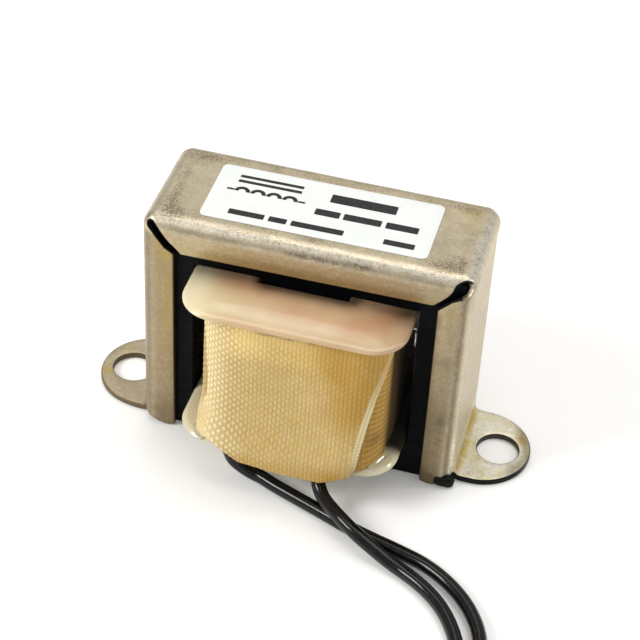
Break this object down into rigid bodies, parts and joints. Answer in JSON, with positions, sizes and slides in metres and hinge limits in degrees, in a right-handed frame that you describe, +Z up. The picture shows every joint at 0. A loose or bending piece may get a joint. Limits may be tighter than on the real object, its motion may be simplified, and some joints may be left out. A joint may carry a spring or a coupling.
{
  "type": "filter choke",
  "caption": "Small open-frame iron-core filter choke: E and I laminations in a folded steel bracket with two screw feet, a cloth-taped bobbin winding and two black flying leads.",
  "frame": {"origin": "middle of the choke between the two screw holes, on the plane that the undersides of the feet rest on", "axes": "+X from one foot to the other, +Y from the coil's lead side to its back, +Z up from the feet to the label"},
  "size_m": [0.0538, 0.0758, 0.0299],
  "materials": {
    "bracket_steel": "satin plated steel with scuffs and varnish stains",
    "black_varnished_iron": "black varnish, satin",
    "gap_paper": "pressed board, varnished",
    "ivory_nylon": "natural nylon, slightly translucent",
    "copper_wire": "enamelled copper wire",
    "insulation_paper": "varnished insulation paper",
    "cloth_tape": "woven cloth tape, varnish stained",
    "tinned_wire": "tinned copper",
    "label_paper": "coated white paper",
    "black_lead": "black PVC insulation",
    "tie_nylon": "natural nylon tie"
  },
  "bodies": {
    "root": {"mounting_bracket": "bracket_steel", "e_laminations": "black_varnished_iron", "i_laminations": "black_varnished_iron", "gap_paper": "gap_paper", "bobbin": "ivory_nylon", "winding": "copper_wire", "inner_wrap": "insulation_paper", "cloth_tape": "cloth_tape", "splice_a": "tinned_wire", "splice_b": "tinned_wire", "label": "label_paper", "lead_a": "black_lead", "lead_b": "black_lead", "lead_coil": "black_lead", "lead_tip_a": "tinned_wire", "lead_tip_b": "tinned_wire", "coil_tie": "tie_nylon"}
  },
  "joints": []
}
